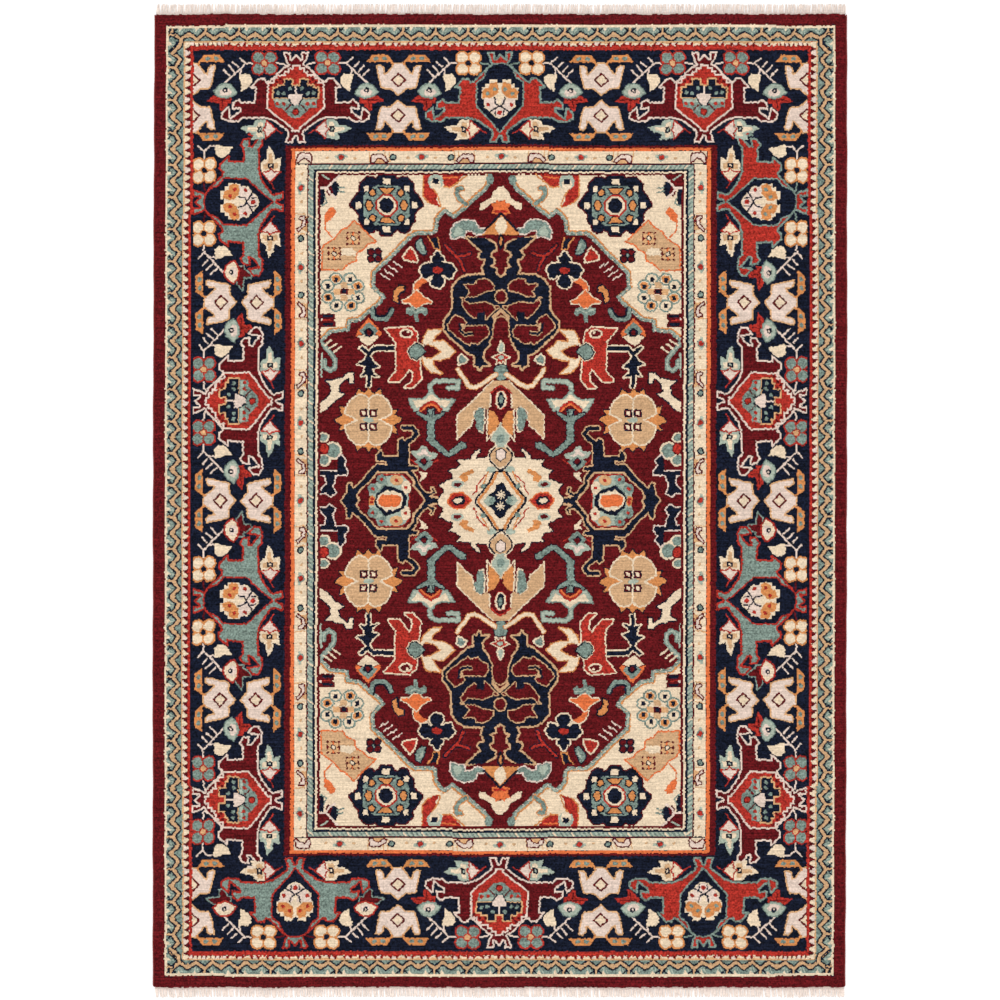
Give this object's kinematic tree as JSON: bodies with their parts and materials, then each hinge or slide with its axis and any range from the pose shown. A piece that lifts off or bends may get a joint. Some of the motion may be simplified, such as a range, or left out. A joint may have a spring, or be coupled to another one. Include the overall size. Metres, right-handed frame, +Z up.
{
  "type": "area rug",
  "caption": "Rectangular woven area rug with a traditional bordered floral pattern in cut pile, overcast side edges and short pale fringes at both ends.",
  "frame": {"origin": "on the floor under the rug's centre", "axes": "+Y along the rug's length towards its top end, +X across its width, +Z up through the pile"},
  "size_m": [1.6, 2.294, 0.0095],
  "materials": {
    "ground_cloth": "coarse jute and cotton ground, matt",
    "yarn_crimson": "cut pile, matt with streaky dye",
    "yarn_navy": "cut pile, matt with streaky dye",
    "yarn_ivory": "cut pile, matt with faint streaks",
    "yarn_teal": "cut pile, matt with streaky dye",
    "yarn_camel": "cut pile, matt with streaky dye",
    "yarn_gold": "cut pile, matt",
    "yarn_rust": "cut pile, matt with streaky dye",
    "yarn_blush": "cut pile, matt",
    "yarn_peach": "cut pile, matt",
    "yarn_orange": "cut pile, matt with streaky dye",
    "yarn_sage": "cut pile, matt with streaky dye",
    "edge_cord": "twisted cord, hidden in the overcasting",
    "overcast_yarn": "overcasting yarn, slightly bright",
    "fringe_cotton": "off-white cotton warp ends, matt",
    "lock_thread": "sewing thread, matt"
  },
  "bodies": {
    "root": {"ground_weave": "ground_cloth", "pile_crimson": "yarn_crimson", "pile_navy": "yarn_navy", "pile_ivory": "yarn_ivory", "pile_teal": "yarn_teal", "pile_camel": "yarn_camel", "pile_gold": "yarn_gold", "pile_rust": "yarn_rust", "pile_blush": "yarn_blush", "pile_peach": "yarn_peach", "pile_orange": "yarn_orange", "pile_sage": "yarn_sage", "selvedge_cord_left": "edge_cord", "selvedge_cord_right": "edge_cord", "overcast_left": "overcast_yarn", "overcast_right": "overcast_yarn", "fringe_heading_top_end": "fringe_cotton", "fringe_heading_bottom_end": "fringe_cotton", "fringe_strands_top_end": "fringe_cotton", "fringe_strands_bottom_end": "fringe_cotton", "fringe_stitches_top_end": "lock_thread", "fringe_stitches_bottom_end": "lock_thread"}
  },
  "joints": []
}
